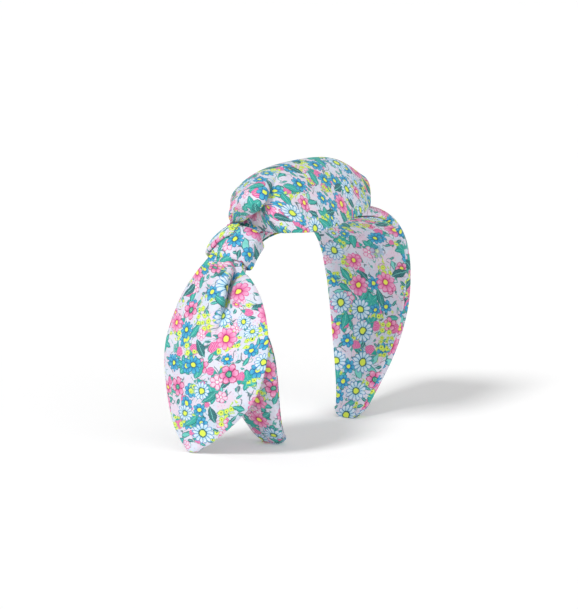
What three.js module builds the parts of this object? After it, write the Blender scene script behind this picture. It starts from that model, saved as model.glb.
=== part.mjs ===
// A knotted headband: a sprung plastic hoop, padded and covered in printed cotton, with a bow tied round
// it on one shoulder. One bow tail rises over the crown and the other hangs down outside the arm.
//
// Units are millimetres. +Z is up, X runs from foot to foot with the knot at -X, and -Y is the front
// edge of the band. The pieces are drawn about a point on the resting surface midway between the feet,
// and the finished group is then moved so that the origin is the middle of its overall box's underside.
//
// Most pieces are slabs of cloth, foam or plastic that follow the hoop. A place on the hoop is given by
// s, the distance along it from the knot-side foot; y, the distance across it; and h, the distance
// outward from the inner face of the plastic core.
import * as THREE from "three";

// ---- Driving dimensions ----
const HALF_SPAN = 69; // half the hoop's greatest width, at the core's inner face
const CROWN_HEIGHT = 123; // core's inner face at the crown, above the surface
const BULGE_HEIGHT = 74; // height of the greatest width
const FOOT_HALF_GAP = 39; // half the distance between the feet, at the core's inner face
const KNOT_SIDE_SQUARENESS = 2.35; // superellipse power of the upper arch: 2 is an ellipse
const PLAIN_SIDE_SQUARENESS = 2.9; // the other half is squarer, since the knot draws its own side in
const ARM_CURVE = 1.7; // power that draws each arm in towards its foot
const ARM_SHARE = 0.42; // share of the curve's parameter spent on the arm below the greatest width
const RAKE = 0.066; // how far the arch leans back, per mm of height
const FLARE = 0.065; // how far the front edge stands out beyond the back edge, per mm of width
const FLARE_START = 20; // distance from a foot over which the flare sets in

const TIP_HALF_WIDTH = 4.5; // band half-width at the flat of a foot
const TIP_ROUND = 9; // height over which each foot is rounded
const TIP_LEVEL = [2.5, 12]; // the outward direction turns level between these distances from a foot
const ARM_HALF_WIDTH = 9.1; // band half-width just above the foot's round
const BAND_HALF_WIDTH = 30; // band half-width at its widest
const WIDENING_LENGTH = 53; // distance from a foot over which the band widens
const WIDENING_POWER = 1.6; // how gently it starts to widen
const WAIST_SHARE = 0.62; // share of the width that the knot gathers in
const WAIST_REACH = 30; // distance along the hoop over which it is gathered
const WAIST_SHIFT = 8.5; // how far the gathers draw the band towards its back edge

const CORE = 1.6; // plastic core thickness
const CLOTH = 0.7; // cover and lining thickness
const GAP = 0.3; // clearance between layers
const PAD_EDGE = 0.9; // foam thickness at the band's edges
const PAD_CROWN = 2.4; // extra foam thickness along the middle
const PAD_TAPER = 40; // distance from a foot over which the foam grows to its full thickness
const PAD_TIP_SHARE = 0.6; // share of the edge thickness left at a foot
const PAD_SQUEEZE = 0.75; // share of the extra thickness that the knot squeezes out
const PAD_SQUEEZE_REACH = 22; // distance from the knot's middle at which the squeeze fades
const COVER_LIP = 5; // how far the cover turns in over the core's inner face
const COVER_OPENING = 2; // least half-width left open between the cover's two lips
const COVER_ROUND = 0.6; // how far its corners are rounded
const COVER_SHOULDER = 0.8; // how far its sides stop short of the top
const CORE_MARGIN = CLOTH + GAP + 0.1; // from the band's edge to the core's
const FOAM_MARGIN = CLOTH + GAP + 0.4; // and to the foam's
const LINING_MARGIN = 0.8; // and to the lining's
const TIP_FOLD = 1.0; // thickness of the folded cloth under each foot

const KNOT_HEIGHT = 109; // height of the knot's middle on the hoop
const KNOT_LENGTH = 20; // knot wrap, along the hoop
const WRAP = 1.5; // knot wrap thickness
const BOW_WAIST = 5; // thickness of the gathered bow under the wrap

const PLY = 0.6; // one ply of a bow tail
const PLY_PITCH = PLY + 0.4; // from one ply to the next

// ---- The hoop's curve ----
// Half of the hoop in the XZ plane, from the foot (0) to the crown (1).
function halfHoop(t, squareness) {
  if (t < ARM_SHARE) {
    const z = BULGE_HEIGHT * (t / ARM_SHARE);
    const drawnIn = Math.pow(1 - z / BULGE_HEIGHT, ARM_CURVE);
    return new THREE.Vector2(HALF_SPAN - (HALF_SPAN - FOOT_HALF_GAP) * drawnIn, z);
  }
  const angle = ((t - ARM_SHARE) / (1 - ARM_SHARE)) * (Math.PI / 2);
  const power = 2 / squareness;
  const rise = CROWN_HEIGHT - BULGE_HEIGHT;
  return new THREE.Vector2(
    HALF_SPAN * Math.pow(Math.max(Math.cos(angle), 0), power),
    BULGE_HEIGHT + rise * Math.pow(Math.sin(angle), power),
  );
}

// The whole hoop as a smooth curve from the knot-side foot, over the crown, to the plain-side foot.
const HALF_POINTS = 24;
const hoopPoints = [];
for (let i = 0; i <= HALF_POINTS; i++) {
  const p = halfHoop(i / HALF_POINTS, KNOT_SIDE_SQUARENESS);
  hoopPoints.push(new THREE.Vector3(-p.x, 0, p.y));
}
for (let i = HALF_POINTS - 1; i >= 0; i--) {
  const p = halfHoop(i / HALF_POINTS, PLAIN_SIDE_SQUARENESS);
  hoopPoints.push(new THREE.Vector3(p.x, 0, p.y));
}
const hoop = new THREE.CatmullRomCurve3(hoopPoints, false, "centripetal");
hoop.arcLengthDivisions = 800;
const HOOP_LENGTH = hoop.getLength();

// The distance along the hoop at which its knot side first reaches a height.
function distanceAtHeight(z) {
  let s = 0;
  while (hoop.getPointAt(s / HOOP_LENGTH).z < z) s += 0.25;
  return s;
}
const KNOT_AT = distanceAtHeight(KNOT_HEIGHT);

// How far the knot's gathers are felt at s, from 0 to 1.
function gathers(s) {
  const fromKnot = Math.max(0, Math.abs(s - KNOT_AT) - KNOT_LENGTH / 2);
  return Math.exp(-Math.pow(fromKnot / WAIST_REACH, 2));
}

// Half the band's width: narrow at each foot, full at the crown, and gathered in at the knot.
function halfWidth(s) {
  const fromFoot = Math.min(s, HOOP_LENGTH - s);
  const widening = 1 - Math.exp(-Math.pow(fromFoot / WIDENING_LENGTH, WIDENING_POWER));
  const plain = ARM_HALF_WIDTH + (BAND_HALF_WIDTH - ARM_HALF_WIDTH) * widening;
  const intoRound = Math.max(0, 1 - fromFoot / TIP_ROUND);
  const rounded = (ARM_HALF_WIDTH - TIP_HALF_WIDTH) * intoRound * intoRound;
  return plain * (1 - WAIST_SHARE * gathers(s)) - rounded;
}

// The outward direction at s. Over the feet it turns level, so that each foot ends in a flat.
function outward(s) {
  const along = hoop.getTangentAt(THREE.MathUtils.clamp(s / HOOP_LENGTH, 0, 1));
  const out = new THREE.Vector3(-along.z, 0, along.x);
  const fromFoot = Math.min(s, HOOP_LENGTH - s);
  const level = 1 - THREE.MathUtils.smoothstep(fromFoot, ...TIP_LEVEL);
  const flat = new THREE.Vector3(Math.sign(s - HOOP_LENGTH / 2), 0, 0);
  const mitre = flat.divideScalar(Math.max(Math.abs(out.x), 0.5));
  return out.lerp(mitre, level);
}

// The point of the part's frame at (s, y, h).
function onHoop(s, y, h) {
  const p = hoop.getPointAt(THREE.MathUtils.clamp(s / HOOP_LENGTH, 0, 1));
  const level = Math.min(1, Math.min(s, HOOP_LENGTH - s) / FLARE_START);
  p.addScaledVector(outward(s), h - y * FLARE * level);
  p.y += y + RAKE * p.z + WAIST_SHIFT * gathers(s);
  return p;
}

// ---- Slabs ----
// A closed solid between two grids of points, rows by columns. A ring's last row joins its first.
function slab(top, bottom, ring = false) {
  const rows = top.length;
  const columns = top[0].length;
  const positions = [];
  for (const grid of [top, bottom]) {
    for (const row of grid) for (const p of row) positions.push(p.x, p.y, p.z);
  }
  const index = [];
  const at = (grid, row, column) => (grid * rows + (row % rows)) * columns + column;
  const quad = (a, b, c, d) => index.push(a, b, c, a, c, d);
  for (let i = 0; i < (ring ? rows : rows - 1); i++) {
    for (let j = 0; j < columns - 1; j++) {
      quad(at(0, i, j), at(0, i + 1, j), at(0, i + 1, j + 1), at(0, i, j + 1));
      quad(at(1, i, j), at(1, i, j + 1), at(1, i + 1, j + 1), at(1, i + 1, j));
    }
    quad(at(0, i, 0), at(1, i, 0), at(1, i + 1, 0), at(0, i + 1, 0));
    const last = columns - 1;
    quad(at(0, i, last), at(0, i + 1, last), at(1, i + 1, last), at(1, i, last));
  }
  for (let j = 0; j < (ring ? 0 : columns - 1); j++) {
    quad(at(0, 0, j), at(0, 0, j + 1), at(1, 0, j + 1), at(1, 0, j));
    const last = rows - 1;
    quad(at(0, last, j), at(1, last, j), at(1, last, j + 1), at(0, last, j + 1));
  }
  const geometry = new THREE.BufferGeometry();
  geometry.setAttribute("position", new THREE.Float32BufferAttribute(positions, 3));
  geometry.setIndex(signedVolume(positions, index) < 0 ? index.reverse() : index);
  geometry.computeVertexNormals();
  return geometry;
}

// Six times the volume that the faces enclose, negative when they point inwards.
function signedVolume(positions, index) {
  const corner = (i) => new THREE.Vector3().fromArray(positions, 3 * index[i]);
  let volume = 0;
  for (let i = 0; i < index.length; i += 3) {
    volume += corner(i).dot(corner(i + 1).cross(corner(i + 2)));
  }
  return volume;
}

// Evenly spaced values from one number to another.
function spread(from, to, count) {
  return Array.from({ length: count }, (_, i) => from + ((to - from) * i) / (count - 1));
}

// ---- The band's layers ----
// The foam is thinnest at the feet and where the knot squeezes it.
function padAt(s, across) {
  const fromFoot = Math.min(s, HOOP_LENGTH - s);
  const fromKnot = Math.abs(s - KNOT_AT);
  const squeeze = PAD_SQUEEZE * Math.exp(-Math.pow(fromKnot / PAD_SQUEEZE_REACH, 2));
  const edge = PAD_EDGE * Math.min(1, PAD_TIP_SHARE + fromFoot / PAD_TAPER);
  const crown = PAD_CROWN * Math.min(1, fromFoot / PAD_TAPER) * (1 - squeeze);
  return edge + crown * (1 - across * across);
}

// The height of the cover's outer face, at a share of the half-width from -1 to 1.
function coverTop(s, across) {
  return CORE + 2 * GAP + padAt(s, across) + CLOTH;
}

const FLAT_ACROSS = [-1, 0, 1]; // where a flat layer is sampled, as shares of the half-width
const CROWNED_ACROSS = [-1, -0.75, -0.4, 0, 0.4, 0.75, 1]; // where a crowned one is

// The cover's section at s: in from one lip, round the edge, over the foam and back. A positive inset
// gives its inner face.
function coverSection(s, inset) {
  const half = halfWidth(s) - inset;
  const floor = -GAP - CLOTH + inset;
  const lip = Math.max(half - COVER_LIP, COVER_OPENING);
  const corner = COVER_ROUND - inset / 2;
  const over = CROWNED_ACROSS.map((share) => [share * (half - COVER_ROUND), coverTop(s, share) - inset]);
  const side = [
    [half, coverTop(s, 1) - COVER_SHOULDER],
    [half, floor + corner],
    [half - corner, floor],
    [lip, floor],
  ];
  const otherSide = side.map(([y, h]) => [-y, h]).reverse();
  return [...otherSide, ...over, ...side].map(([y, h]) => onHoop(s, y, h));
}

function cover(stations) {
  return slab(
    stations.map((s) => coverSection(s, 0)),
    stations.map((s) => coverSection(s, CLOTH)),
  );
}

// A layer whose top and bottom heights are given as functions of s and the share across.
function layer(stations, across, margin, topAt, bottomAt) {
  const rowAt = (s, heightAt) =>
    across.map((share) => onHoop(s, share * (halfWidth(s) - margin), heightAt(s, share)));
  return slab(
    stations.map((s) => rowAt(s, topAt)),
    stations.map((s) => rowAt(s, bottomAt)),
  );
}

function core(stations) {
  return layer(stations, FLAT_ACROSS, CORE_MARGIN, () => CORE, () => 0);
}

function foam(stations) {
  const top = (s, share) => coverTop(s, share) - CLOTH - GAP;
  return layer(stations, CROWNED_ACROSS, FOAM_MARGIN, top, () => CORE + GAP);
}

const LINING_TOP = -CLOTH - 2 * GAP;
function lining(stations) {
  return layer(stations, FLAT_ACROSS, LINING_MARGIN, () => LINING_TOP, () => LINING_TOP - CLOTH);
}

// The cloth folded over the end of an arm: a flat pad that the headband stands on.
function tipFold(stations) {
  return layer(stations, FLAT_ACROSS, 0, (s) => coverTop(s, 1), () => LINING_TOP - CLOTH);
}

// ---- The knot ----
// A strip of cloth round the waisted band and the gathered bow that lies on it. It is widest over the
// front edge and is drawn in towards the back edge, where its free end crosses over the top.
const WRAP_EASE = 0.2; // how much looser than the plain clearance it lies
const WRAP_HALF = halfWidth(KNOT_AT + KNOT_LENGTH / 2) + GAP + WRAP_EASE; // its inside, to each edge
const WRAP_FLOOR = LINING_TOP - CLOTH - GAP - WRAP_EASE;
const WRAP_TOP = coverTop(KNOT_AT, 0) + GAP + BOW_WAIST + GAP;
const WRAP_CORNER = 0.6; // inner corner radius where the wrap turns onto the head side
const WRAP_SHOULDER = 4.4; // height at which its sides start to round over
const WRAP_SIDE_PULL = 3.4; // how far below the top its rounded sides are drawn straight up
const WRAP_TOP_PULL = 0.55; // share of the half-width over which its top is drawn level
const WRAP_NARROWING = 0.4; // share of its length lost at the back edge
const WRAP_DROOP = 1.5; // how far towards the foot it slides at the back edge
const WRAP_ROWS = 36; // points round it

// The inner face of the wrap, drawn across the band: y to the right and h upwards.
function wrapPath() {
  const half = WRAP_HALF;
  const corner = WRAP_CORNER;
  const path = new THREE.Path();
  path.moveTo(0, WRAP_FLOOR);
  path.lineTo(half - corner, WRAP_FLOOR);
  path.quadraticCurveTo(half, WRAP_FLOOR, half, WRAP_FLOOR + corner);
  path.lineTo(half, WRAP_SHOULDER);
  path.bezierCurveTo(half, WRAP_TOP - WRAP_SIDE_PULL, half * WRAP_TOP_PULL, WRAP_TOP, 0, WRAP_TOP);
  path.bezierCurveTo(-half * WRAP_TOP_PULL, WRAP_TOP, -half, WRAP_TOP - WRAP_SIDE_PULL, -half, WRAP_SHOULDER);
  path.lineTo(-half, WRAP_FLOOR + corner);
  path.quadraticCurveTo(-half, WRAP_FLOOR, corner - half, WRAP_FLOOR);
  path.closePath();
  return path;
}

// Points of that path pushed outward by a lift, as [y, h] pairs.
function wrapSection(count, lift) {
  const inner = wrapPath().getSpacedPoints(count).slice(0, -1);
  return inner.map((p, i) => {
    const along = inner[(i + 1) % count].clone();
    along.sub(inner[(i + count - 1) % count]).normalize();
    return [p.x + along.y * lift, p.y - along.x * lift];
  });
}

function knotWrap() {
  const shares = spread(-1, 1, 5);
  const grid = (lift) =>
    wrapSection(WRAP_ROWS, lift).map(([y, h]) => {
      const drawnIn = THREE.MathUtils.smoothstep(y, 0, WRAP_HALF);
      const half = (KNOT_LENGTH / 2) * (1 - WRAP_NARROWING * drawnIn);
      const middle = KNOT_AT - WRAP_DROOP * drawnIn;
      return shares.map((share) => onHoop(middle + share * half, y, h));
    });
  return slab(grid(WRAP), grid(0), true);
}

// The strip's free end: it comes up from under the upper tail, crosses the wrap on the slant and is
// tucked down over the back edge.
const CROSSOVER = 1.4; // thickness
const CROSSOVER_HALF = 3.4; // half its width
const CROSSOVER_TUCK = -3.5; // where its tucked end lies along the hoop, from the knot's middle
const CROSSOVER_SLANT = 9.5; // how far along the hoop it has moved when it reaches the top
const CROSSOVER_STRAIGHT = 0.25; // share of it that runs straight before it slants
const CROSSOVER_ROLL = 0.5; // how far its long edges are rolled down
const CROSSOVER_ROWS = { all: 54, first: 12, end: 28 }; // the rows round the wrap that it lies over
function knotCrossover() {
  const { all, first, end } = CROSSOVER_ROWS;
  const grid = (lift) => {
    const around = wrapSection(all, WRAP + GAP + lift).slice(first, end);
    return around.map(([y, h], i) => {
      const slanted = THREE.MathUtils.smoothstep(i / (around.length - 1), CROSSOVER_STRAIGHT, 1);
      const s = KNOT_AT + CROSSOVER_TUCK + CROSSOVER_SLANT * slanted;
      return [-1, 0, 1].map((share) => {
        const rolledEdge = lift > 0 ? CROSSOVER_ROLL * share * share : 0;
        return onHoop(s + share * CROSSOVER_HALF, y, h - rolledEdge);
      });
    });
  };
  return slab(grid(CROSSOVER), grid(0));
}

// The middle of the bow, gathered small under the wrap.
const WAIST_HALF = WRAP_HALF - 2.8; // half its width
const WAIST_TOP = WRAP_TOP - GAP - 0.5; // height of its middle
const WAIST_EDGE = 1.2; // its thickness at the edges
const GATHER_DEPTH = 0.3;
const GATHER_TURNS = 9; // radians of ribbing to each side of the middle
function bowWaist() {
  const stations = spread(KNOT_AT - KNOT_LENGTH / 2, KNOT_AT + KNOT_LENGTH / 2, 5);
  const gather = (share) => GATHER_DEPTH * Math.cos(share * GATHER_TURNS);
  const topAt = (s, share) => WAIST_TOP - (BOW_WAIST - WAIST_EDGE) * share * share + gather(share);
  const bottomAt = (s, share) => coverTop(s, share * 0.85) + GAP + WRAP_EASE;
  const rowAt = (s, heightAt) =>
    spread(-1, 1, 13).map((share) => onHoop(s, share * WAIST_HALF, heightAt(s, share)));
  return slab(
    stations.map((s) => rowAt(s, topAt)),
    stations.map((s) => rowAt(s, bottomAt)),
  );
}

// ---- The bow tails ----
const PLEAT_DRIFT = 0.1;
const PLEAT_START = 0.1;

// A tail is a leaf of cloth between a front edge and a back edge, bowed out along its crest.
class Tail {
  constructor(side, root, front, crest, back, pleat) {
    this.side = side;
    const curve = (start, points) =>
      new THREE.CatmullRomCurve3([start, ...points.map((p) => new THREE.Vector3(...p))]);
    this.guides = [curve(root[0], front), curve(root[1], crest), curve(root[2], back)];
    this.pleat = pleat;
  }

  // The surface at u, from the knot to the tip, and v, from the front edge to the back edge.
  surface(u, v) {
    const [front, crest, back] = this.guides.map((guide) => guide.getPoint(u));
    const point = new THREE.Vector3()
      .addScaledVector(front, (1 - v) * (1 - 2 * v))
      .addScaledVector(crest, 4 * v * (1 - v))
      .addScaledVector(back, v * (2 * v - 1));
    return point;
  }

  normal(u, v) {
    const e = 0.01; // step over which the slope is measured
    const clamp = (x) => THREE.MathUtils.clamp(x, 0, 1);
    const alongU = this.surface(clamp(u + e), v).sub(this.surface(clamp(u - e), v));
    const alongV = this.surface(u, clamp(v + e)).sub(this.surface(u, clamp(v - e)));
    return alongU.cross(alongV).setLength(this.side);
  }

  // The same with the pleat pressed in where the knot gathers the cloth. The pleat drifts towards the
  // back edge, and starts just clear of the knot.
  at(u, v, lift) {
    const { depth, where, width, reach } = this.pleat;
    const across = Math.exp(-Math.pow((v - where - PLEAT_DRIFT * u) / width, 2));
    const along = Math.exp(-Math.pow(u / reach, 2)) * THREE.MathUtils.smoothstep(u, 0, PLEAT_START);
    const press = depth * across * along;
    return this.surface(u, v).addScaledVector(this.normal(u, v), lift - press);
  }

  // One ply of the tail, between two lifts from its middle surface.
  ply(low, high) {
    const us = spread(0, 1, 13);
    const vs = spread(0, 1, 9);
    const grid = (lift) => us.map((u) => vs.map((v) => this.at(u, v, lift)));
    return slab(grid(high), grid(low));
  }
}

const ROOT = { front: -11, middle: -1, back: 9 }; // where a tail's root lies across the band
const ROOT_LIFT = 2.4; // how far its edges stand above the cover
const ROOT_ARCH = 3.6; // and how much higher its middle is
const ROOT_SLANT = 1.5; // how much nearer the knot its back edge is
// The three corners of a tail's root: on the band, just clear of the wrap. Side is -1 below the knot
// and 1 above it.
function tailRoot(side, clear) {
  const from = (y, h, near) => onHoop(KNOT_AT + side * (KNOT_LENGTH / 2 + clear - near), y, h);
  const lift = coverTop(KNOT_AT, 0) + ROOT_LIFT;
  const middle = from(ROOT.middle, lift + ROOT_ARCH, 0);
  return [from(ROOT.front, lift, 0), middle, from(ROOT.back, lift, ROOT_SLANT)];
}

const lowerTail = new Tail(
  -1,
  tailRoot(-1, 1.5),
  [[-77, -17, 88], [-83, -25, 63], [-87, -19, 36], [-86, 6, 11], [-85, 21, 1]],
  [[-87, 7, 88], [-95, 8, 61], [-94, 12, 34], [-89, 19, 14], [-86, 24, 1]],
  [[-78, 33, 90], [-84, 41, 64], [-86, 41, 39], [-86, 36, 15], [-86, 27, 1]],
  { depth: 3, where: 0.42, width: 0.13, reach: 0.35 },
);

const upperTail = new Tail(
  1,
  tailRoot(1, 3),
  [[-50, -16, 122.5], [-32, -25.8, 122], [-9, -27, 124], [11, -26, 126.5], [26, -22.5, 128]],
  [[-59, 1, 142], [-38, 0, 151], [-8, 0, 154.5], [24, -2, 153], [43, -9, 141]],
  [[-52, 20, 130.5], [-39, 27.5, 138], [-12, 29, 139.5], [18, 22, 138], [38, 3, 135]],
  { depth: 2.5, where: 0.5, width: 0.15, reach: 0.35 },
);

// ---- Materials ----
function cloth(colour) {
  return new THREE.MeshStandardMaterial({ color: colour, roughness: 0.9, metalness: 0 });
}
const printedCotton = cloth(0xe9dcee);
const paddingFoam = new THREE.MeshStandardMaterial({ color: 0xf2efe6, roughness: 1, metalness: 0 });
const hoopPlastic = new THREE.MeshStandardMaterial({ color: 0xf4f4f2, roughness: 0.45, metalness: 0 });
const interfacing = cloth(0xfafafa);

// ---- Assembly ----
const headband = new THREE.Group();
function add(name, geometry, material) {
  const mesh = new THREE.Mesh(geometry, material);
  mesh.name = name;
  headband.add(mesh);
}

// The hoop bends just below the knot and at the matching place on the plain side.
const FLEX_BELOW_KNOT = 1; // from the wrap's edge to the bend
const KNOT_FLEX_AT = KNOT_AT - KNOT_LENGTH / 2 - FLEX_BELOW_KNOT;
const PLAIN_FLEX_AT = HOOP_LENGTH - KNOT_FLEX_AT;
const FLEX_GAP = 0.4; // left between the crown and an arm
const FOOT_CLEAR = TIP_FOLD + 1.3 * GAP; // from the ground to the layers above a foot's fold
const ARM_STATIONS = 14;
const CROWN_STATIONS = 20;
const CROWDING = 1.35; // power that draws an arm's stations together towards its foot
// Stations of one arm, from its flex point to its foot.
function armStations(flexAt, footAt) {
  const nearness = spread(0, 1, ARM_STATIONS).map((t) => Math.pow(1 - t, CROWDING));
  return nearness.map((share) => footAt + (flexAt - footAt) * share);
}
const zones = {
  knot_arm: armStations(KNOT_FLEX_AT - FLEX_GAP / 2, FOOT_CLEAR),
  crown: spread(KNOT_FLEX_AT + FLEX_GAP / 2, PLAIN_FLEX_AT - FLEX_GAP / 2, CROWN_STATIONS),
  plain_arm: armStations(PLAIN_FLEX_AT + FLEX_GAP / 2, HOOP_LENGTH - FOOT_CLEAR),
};
for (const [zone, stations] of Object.entries(zones)) {
  add(`core_${zone}`, core(stations), hoopPlastic);
  add(`foam_${zone}`, foam(stations), paddingFoam);
  add(`cover_${zone}`, cover(stations), printedCotton);
  add(`lining_${zone}`, lining(stations), printedCotton);
}
add("tip_fold_knot_arm", tipFold([0, TIP_FOLD]), printedCotton);
add("tip_fold_plain_arm", tipFold([HOOP_LENGTH, HOOP_LENGTH - TIP_FOLD]), printedCotton);

add("knot_wrap", knotWrap(), printedCotton);
add("knot_crossover", knotCrossover(), printedCotton);
add("bow_waist", bowWaist(), printedCotton);

for (const [name, tail] of Object.entries({ upper_tail: upperTail, lower_tail: lowerTail })) {
  add(`${name}_face`, tail.ply(PLY_PITCH, PLY_PITCH + PLY), printedCotton);
  add(`${name}_interfacing`, tail.ply(0, PLY), interfacing);
  add(`${name}_backing`, tail.ply(-PLY_PITCH, -PLY_PITCH + PLY), printedCotton);
}

// The origin: the middle of the underside of the overall box.
const overall = new THREE.Box3().setFromObject(headband);
const middle = overall.getCenter(new THREE.Vector3());
headband.position.set(-middle.x, -middle.y, 0);

export default headband;
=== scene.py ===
import math

import bpy
import numpy as np
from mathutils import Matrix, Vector

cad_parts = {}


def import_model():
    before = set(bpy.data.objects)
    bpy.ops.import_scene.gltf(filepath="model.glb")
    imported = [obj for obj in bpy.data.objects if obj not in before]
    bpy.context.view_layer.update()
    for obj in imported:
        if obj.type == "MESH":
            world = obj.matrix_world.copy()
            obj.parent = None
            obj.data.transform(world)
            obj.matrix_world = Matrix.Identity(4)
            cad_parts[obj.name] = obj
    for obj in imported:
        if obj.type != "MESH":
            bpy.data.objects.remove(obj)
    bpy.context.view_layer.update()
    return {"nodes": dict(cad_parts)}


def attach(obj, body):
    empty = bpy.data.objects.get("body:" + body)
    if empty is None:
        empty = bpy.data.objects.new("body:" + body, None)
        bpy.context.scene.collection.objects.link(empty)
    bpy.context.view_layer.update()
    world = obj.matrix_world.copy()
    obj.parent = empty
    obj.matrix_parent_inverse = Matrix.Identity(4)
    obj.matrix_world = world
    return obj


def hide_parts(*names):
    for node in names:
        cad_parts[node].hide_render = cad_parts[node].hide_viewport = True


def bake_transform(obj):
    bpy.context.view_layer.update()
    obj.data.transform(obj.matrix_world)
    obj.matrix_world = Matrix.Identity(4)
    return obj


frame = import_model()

# A knotted headband: a padded hoop covered in printed cotton, with a bow tied round one shoulder.
# The shapes below follow the CAD part's own formulas, in millimetres, with finer detail: s runs along
# the hoop from the knot-side foot, y across it and h outward from the plastic core's inner face.
MM = 0.001
TURN = 2 * math.pi
SHIFT = np.array([10.5654, -7.0199, 0.0])  # from the drawing frame to the part's frame

# ---- The hoop ----
HALF_SPAN, FOOT_HALF_GAP = 69.0, 39.0
CROWN_HEIGHT, BULGE_HEIGHT = 123.0, 74.0
KNOT_SIDE_SQUARENESS, PLAIN_SIDE_SQUARENESS, ARM_CURVE = 2.35, 2.9, 1.7
ARM_SHARE = 0.42  # how much of each half of the hoop is arm, below its widest point
HOOP_POINTS, LINE_POINTS = 25, 6001  # drawn on each half, and on the whole smooth line
RAKE, FLARE, FLARE_START = 0.066, 0.065, 20.0
TIP_HALF_WIDTH, TIP_ROUND = 4.5, 9.0
TIP_LEVEL = (2.5, 12.0)  # over this much of an arm its end turns level with the ground
ARM_HALF_WIDTH, BAND_HALF_WIDTH = 9.1, 30.0
WIDENING_LENGTH, WIDENING_POWER = 53.0, 1.6
WAIST_SHARE, WAIST_REACH, WAIST_SHIFT = 0.62, 30.0, 8.5
STEP = 0.25  # places along the hoop are rounded up to this
TANGENT_REACH = 0.2

# ---- The layers ----
CORE, CLOTH, GAP = 1.6, 0.7, 0.3
PAD_EDGE, PAD_CROWN = 0.9, 2.4
PAD_TAPER, PAD_TIP_SHARE = 40.0, 0.6
PAD_SQUEEZE, PAD_SQUEEZE_REACH = 0.75, 22.0
COVER_LIP = 5.0
KNOT_HEIGHT, KNOT_HALF = 109.0, 10.0
BOW_WAIST = 5.0
WRAP = 1.5


def smoothstep(x, low, high):
    """0 below low, 1 above high, and a smooth rise between."""
    t = np.clip((x - low) / (high - low), 0, 1)
    return t * t * (3 - 2 * t)


def bump(x, middle, width):
    """A smooth hump of height 1."""
    return np.exp(-(((x - middle) / width) ** 2))


def hump(x, middle, before, after):
    """A smooth hump of height 1 that is wider on one side than on the other."""
    return np.exp(-(((x - middle) / np.where(x < middle, before, after)) ** 2))


def catmull_rom(points, t):
    """Points on the centripetal Catmull-Rom curve through some points, at t from 0 to 1."""
    p = np.asarray(points, float)
    p = np.vstack([2 * p[0] - p[1], p, 2 * p[-1] - p[-2]])
    spans = len(p) - 3
    at = np.clip(np.asarray(t, float), 0, 1) * spans
    i = np.minimum(at.astype(int), spans - 1)
    w = (at - i)[..., None]
    a, b, c, d = (p[i + k] for k in range(4))
    ab, bc, cd = (np.sqrt(np.linalg.norm(k, axis=-1, keepdims=True)) for k in (b - a, c - b, d - c))
    start = ((b - a) / ab - (c - a) / (ab + bc) + (c - b) / bc) * bc
    end = ((c - b) / bc - (d - b) / (bc + cd) + (d - c) / cd) * bc
    return b + start * w + (3 * (c - b) - 2 * start - end) * w**2 + (2 * (b - c) + start + end) * w**3


def run_along(points):
    """The distance of each point of a line from its first."""
    return np.concatenate([[0], np.cumsum(np.linalg.norm(np.diff(points, axis=0), axis=1))])


def half_hoop(t, squareness):
    """x and z on one half of the hoop's middle line, for t from 0 at the foot to 1 at the crown."""
    power = 2 / squareness
    z = BULGE_HEIGHT * np.minimum(t / ARM_SHARE, 1)
    arm_x = HALF_SPAN - (HALF_SPAN - FOOT_HALF_GAP) * (1 - z / BULGE_HEIGHT) ** ARM_CURVE
    angle = np.clip((t - ARM_SHARE) / (1 - ARM_SHARE), 0, 1) * math.pi / 2
    arch_x = HALF_SPAN * np.maximum(np.cos(angle), 0) ** power
    arch_z = BULGE_HEIGHT + (CROWN_HEIGHT - BULGE_HEIGHT) * np.sin(angle) ** power
    return np.where(t < ARM_SHARE, arm_x, arch_x), np.where(t < ARM_SHARE, z, arch_z)


def hoop_line():
    """The hoop's curve as distances along it and the points there."""
    t = np.arange(HOOP_POINTS) / (HOOP_POINTS - 1)
    x, z = half_hoop(t, KNOT_SIDE_SQUARENESS)
    points = list(zip(-x, z))
    x, z = half_hoop(t[-2::-1], PLAIN_SIDE_SQUARENESS)
    points += list(zip(x, z))
    line = catmull_rom(points, np.linspace(0, 1, LINE_POINTS))
    return run_along(line), line


RUN, LINE = hoop_line()
HOOP_LENGTH = float(RUN[-1])
MIDDLE = HOOP_LENGTH / 2
KNOT_AT = math.ceil(float(RUN[np.argmax(LINE[:, 1] >= KNOT_HEIGHT)]) / STEP) * STEP
KNOT_FLEX_AT = KNOT_AT - KNOT_HALF - 1


def from_foot(s):
    """Distance along the hoop from the nearer foot."""
    return np.maximum(np.minimum(s, HOOP_LENGTH - s), 0)


def near_knot(s, reach):
    """1 at the knot, falling to 0 beyond it."""
    return bump(np.maximum(0, np.abs(s - KNOT_AT) - KNOT_HALF), 0, reach)


def gathers(s):
    """How much the band is drawn in by the knot, from 0 to 1."""
    return near_knot(s, WAIST_REACH)


def half_width(s):
    f = from_foot(s)
    widened = 1 - np.exp(-((f / WIDENING_LENGTH) ** WIDENING_POWER))
    plain = ARM_HALF_WIDTH + (BAND_HALF_WIDTH - ARM_HALF_WIDTH) * widened
    rounded = (ARM_HALF_WIDTH - TIP_HALF_WIDTH) * np.maximum(0, 1 - f / TIP_ROUND) ** 2
    return plain * (1 - WAIST_SHARE * gathers(s)) - rounded


def hoop_at(s):
    return np.interp(s, RUN, LINE[:, 0]), np.interp(s, RUN, LINE[:, 1])


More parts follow.
